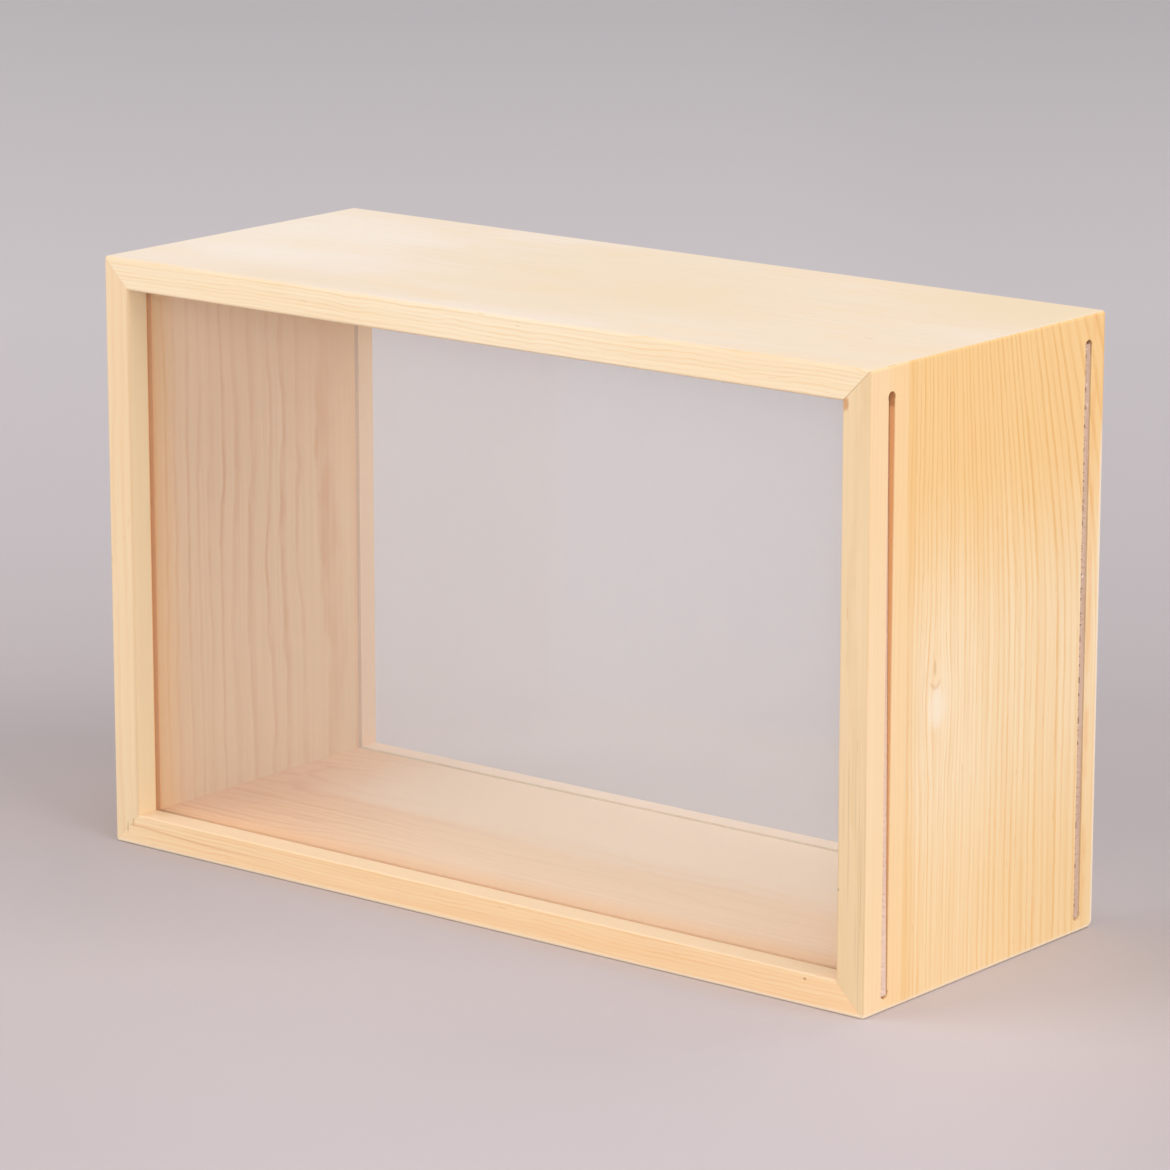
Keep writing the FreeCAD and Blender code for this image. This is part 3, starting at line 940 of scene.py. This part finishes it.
away = Vector((-math.sin(CAMERA_AZIMUTH), math.cos(CAMERA_AZIMUTH), 0))
up = Vector((0, 0, 1))
bm = bmesh.new()
near_middle, to_end = away * -FLOOR_NEAR, to_right * FLOOR_HALF_WIDTH
edge = bm.edges.new([bm.verts.new(near_middle - to_end), bm.verts.new(near_middle + to_end)])


def drawn_out(bm, edge, step):
    """Extrudes an edge and returns the new edge."""
    made = bmesh.ops.extrude_edge_only(bm, edges=[edge])["geom"]
    bmesh.ops.translate(bm, vec=step, verts=[g for g in made if isinstance(g, bmesh.types.BMVert)])
    return next(g for g in made if isinstance(g, bmesh.types.BMEdge))


far_edge = drawn_out(bm, edge, away * (FLOOR_NEAR + FLOOR_FAR))
curve = bmesh.ops.spin(
    bm, geom=[far_edge], cent=away * FLOOR_FAR + up * SWEEP_RADIUS, axis=to_right,
    angle=math.radians(90), steps=24,
)
last = next(g for g in curve["geom_last"] if isinstance(g, bmesh.types.BMEdge))
drawn_out(bm, last, up * WALL_HEIGHT)
bmesh.ops.recalc_face_normals(bm, faces=bm.faces)
for face in bm.faces:
    face.smooth = True
mesh = bpy.data.meshes.new("studio_floor")
bm.to_mesh(mesh)
bm.free()
floor = bpy.data.objects.new("studio_floor", mesh)
scene.collection.objects.link(floor)
print("sweep with", len(mesh.polygons), "faces")

# %% Backdrop paper
PAPER_NEAR = -0.4  # metres from the middle of the box, away from the camera
PAPER_FAR = 2.0
# the stops paint the fall-off of the light with distance, and a darker band of painted shade just behind the
# box
PAPER_STOPS = (  # share of the way from near to far, and paint chip
    (0.07, (197, 186, 189)),
    (0.13, (203, 192, 193)),
    (0.25, (181, 173, 176)),
    (0.38, (190, 183, 186)),
    (0.56, (198, 192, 195)),
    (0.76, (196, 191, 194)),
    (0.95, (194, 190, 193)),
)

paper, tree = new_material("backdrop paper")
place = add_node(tree, "TexCoord").outputs["Object"]
distance = add_node(tree, "VectorMath", {0: place, 1: away}, operation="DOT_PRODUCT").outputs["Value"]
aside = add_node(tree, "VectorMath", {0: place, 1: to_right}, operation="DOT_PRODUCT").outputs["Value"]
way = add_node(tree, "MapRange", {"Value": distance, "From Min": PAPER_NEAR, "From Max": PAPER_FAR})
tint = add_node(tree, "ValToRGB", {"Fac": way.outputs["Result"]})
stops = tint.color_ramp.elements
while len(stops) < len(PAPER_STOPS):
    stops.new(0.5)
for element, (stop, chip) in zip(stops, PAPER_STOPS):
    element.position = stop
    element.color = srgb(*chip)

# painted shadows beside the box, and a painted pool of lamp light far to the left
near_box = smooth_step(tree, distance, 0.30, 0.10)
shadow_left_of_box = maths(tree, "MULTIPLY", near_box, smooth_step(tree, aside, -0.05, -0.17))
shadow_right_of_box = smooth_step(tree, aside, 0.08, 0.20)
shadow_right_front = maths(tree, "MULTIPLY", shadow_right_of_box, smooth_step(tree, distance, 0.25, 0.05))
shadow_low_right = maths(tree, "MULTIPLY", shadow_right_front, smooth_step(tree, distance, 0.03, -0.06))
shadow_low_right = maths(tree, "MULTIPLY", shadow_low_right, smooth_step(tree, distance, -0.15, -0.08))
lamp_pool_far_left = smooth_step(tree, aside, -0.20, -1.00)
shades = (  # where, and how much painted shadow or painted lamp light makes the paper darker or lighter there
    (shadow_left_of_box, 0.94),
    (shadow_right_of_box, 0.965),
    (shadow_right_front, 0.90),
    (shadow_low_right, 0.91),
    (lamp_pool_far_left, 1.15),
)
lit = tint.outputs["Color"]
for mask, shade in shades:
    lit = mix_colour(tree, 1.0, lit, spread(tree, mask, 1.0, shade), blend="MULTIPLY")
fleck = stretched_noise(tree, place, (700, 700, 700), detail=2.0)
colour = mix_colour(tree, 1.0, lit, spread(tree, fleck, 0.985, 1.015), blend="MULTIPLY")
surface = add_node(tree, "BsdfPrincipled", {
    "Base Color": colour,
    "Roughness": spread(tree, fleck, 0.85, 0.95),
    "Specular IOR Level": 0.2,
})
add_node(tree, "OutputMaterial", {"Surface": surface.outputs[0]})
floor.data.materials.append(paper)
print("paper with", len(shades), "shades")

# %% [markdown]
# ## Light
# Two big soft boxes stand left and right and light the front and the right side about equally. A smaller one
# high behind the box lights the floor inside it, one near the camera shines into the far corners, and a pale
# sky fills in the rest. All are wide for their distance, so the shadows are only dim soft patches.

# %% Lamps and sky
LAMP_DISTANCE = 3.0
SOFT_BOXES = (  # azimuth and elevation in degrees, size in metres, power in watts
    ("left_soft_box", -47, 33, 2.4, 32.3),
    ("right_soft_box", 88, 45, 2.0, 30.5),
    ("rear_soft_box", 170, 55, 1.7, 11.8),
    ("camera_soft_box", 42, 8, 1.7, 23.3),
)
SKY_COLOUR = (1.0, 0.985, 0.97, 1)
SKY_STRENGTH = 0.672


def soft_box(name, azimuth, elevation, size, power):
    """A square area lamp that looks at the box from a direction given in degrees."""
    around, rise = math.radians(azimuth), math.radians(elevation)
    direction = Vector((
        math.sin(around) * math.cos(rise),
        -math.cos(around) * math.cos(rise),
        math.sin(rise),
    ))
    lamp = bpy.data.objects.new(name, bpy.data.lights.new(name, "AREA"))
    lamp.data.shape = "SQUARE"
    lamp.data.size = size
    lamp.data.energy = power
    lamp.location = box_middle + direction * LAMP_DISTANCE
    lamp.rotation_mode = "QUATERNION"
    lamp.rotation_quaternion = direction.to_track_quat("Z", "Y")
    scene.collection.objects.link(lamp)
    print(name, "at", [round(c, 2) for c in lamp.location])


for soft_box_values in SOFT_BOXES:
    soft_box(*soft_box_values)

sky = bpy.data.worlds.new("sky")
scene.world = sky
sky.use_nodes = True
sky.node_tree.nodes.clear()
light = add_node(sky.node_tree, "Background", {"Color": SKY_COLOUR, "Strength": SKY_STRENGTH})
add_node(sky.node_tree, "OutputWorld", {"Surface": light.outputs[0]})
print("sky at", SKY_STRENGTH)
